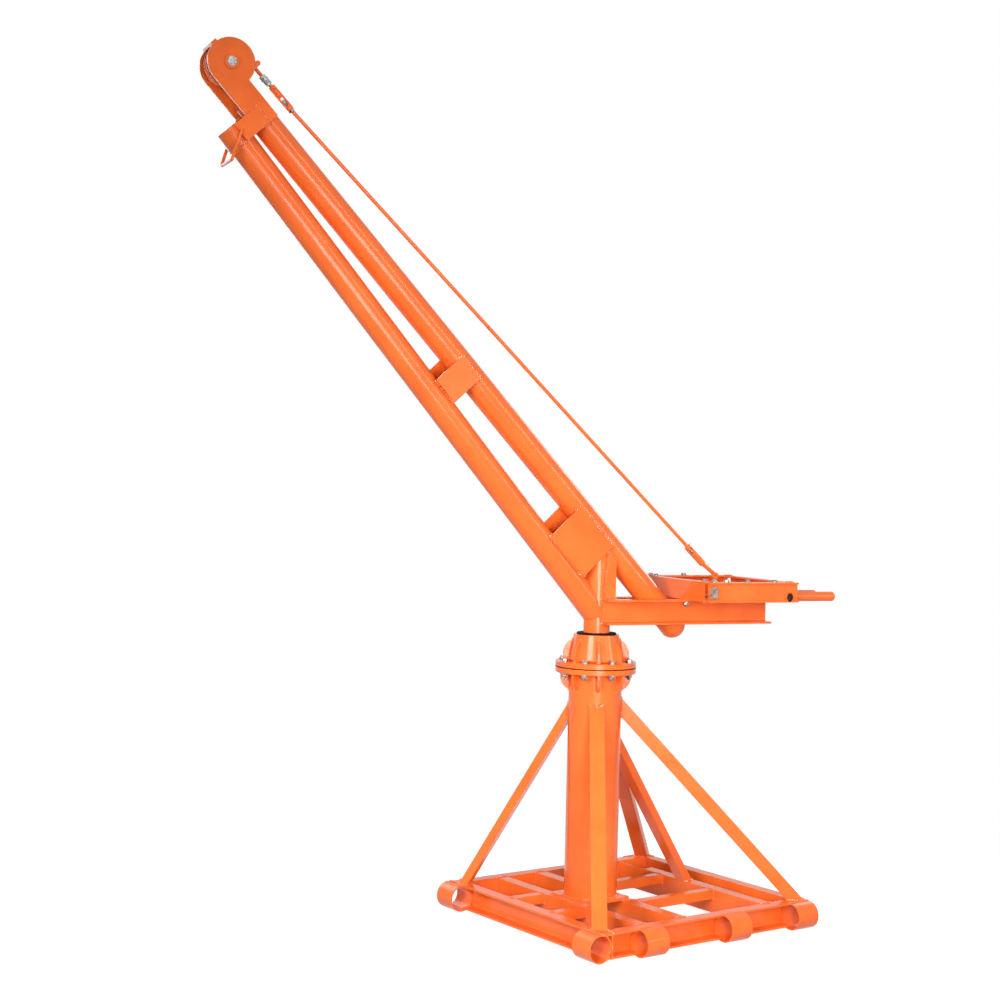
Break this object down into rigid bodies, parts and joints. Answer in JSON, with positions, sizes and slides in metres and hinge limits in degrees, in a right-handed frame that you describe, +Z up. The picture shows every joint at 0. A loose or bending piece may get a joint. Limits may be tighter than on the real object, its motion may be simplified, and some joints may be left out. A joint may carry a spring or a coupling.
{
  "type": "small slewing jib crane",
  "caption": "Small hand-slewed jib crane on a channel frame with pipe sleeves, braced mast, bolted slewing head, twin-tube jib, head sheave, stay rod and ballast tray.",
  "frame": {"origin": "on the ground under the middle of the mast", "axes": "+Z up the mast, +X along the front left channel, +Y along the front right channel"},
  "size_m": [0.9378, 2.1333, 2.7961],
  "materials": {
    "orange_paint": "gloss",
    "zinc_steel": "bright zinc",
    "black_rubber": "matte"
  },
  "bodies": {
    "stand": {"channel_front_left": "orange_paint", "channel_front_right": "orange_paint", "channel_back_left": "orange_paint", "channel_back_right": "orange_paint", "bearer_front": "orange_paint", "bearer_middle": "orange_paint", "bearer_rear": "orange_paint", "angle_ties": "orange_paint", "sleeve_left": "orange_paint", "sleeve_front": "orange_paint", "sleeve_front_middle": "orange_paint", "sleeve_rear_middle": "orange_paint", "sleeve_right": "orange_paint", "sleeve_back": "orange_paint", "mast_plate": "orange_paint", "mast": "orange_paint", "strut_left": "orange_paint", "strut_front": "orange_paint", "strut_right": "orange_paint", "strut_back": "orange_paint", "strut_rear": "orange_paint", "mast_flange": "orange_paint", "mast_ribs": "orange_paint", "head_flange": "orange_paint", "bearing_housing": "orange_paint", "bearing_ribs": "orange_paint", "seal_ring": "black_rubber"},
    "jib": {"column": "orange_paint", "column_gussets": "orange_paint", "boom_lower": "orange_paint", "boom_upper": "orange_paint", "tie_plates_lower": "orange_paint", "tie_plates_upper": "orange_paint", "head_strap": "orange_paint", "head_cheeks": "orange_paint", "sheave_pin": "zinc_steel", "beams": "orange_paint", "tray_sides": "orange_paint", "tray_ends": "orange_paint", "tray_bearers": "orange_paint", "push_bars": "orange_paint", "stay_anchor": "orange_paint", "turnbuckle_upper": "orange_paint", "stay_rod": "orange_paint", "turnbuckle_lower": "orange_paint", "stay_eye_bolt": "orange_paint"},
    "sheave": {"sheave": "orange_paint"},
    "drop_ring": {"drop_ring": "orange_paint"}
  },
  "joints": [
    {"name": "slew", "type": "hinge", "parent": "stand", "child": "jib", "pos_m": [0, 0, 0.97], "axis": [0, 0, 1], "continuous": true},
    {"name": "sheave_spin", "type": "hinge", "parent": "jib", "child": "sheave", "pos_m": [-0.26819, -1.28375, 2.72212], "axis": [0.9789, -0.2045, 0], "continuous": true},
    {"name": "ring_swing", "type": "hinge", "parent": "jib", "child": "drop_ring", "pos_m": [-0.2613, -1.25079, 2.51667], "axis": [0.9789, -0.2045, 0], "range_deg": [-60, 18]}
  ]
}
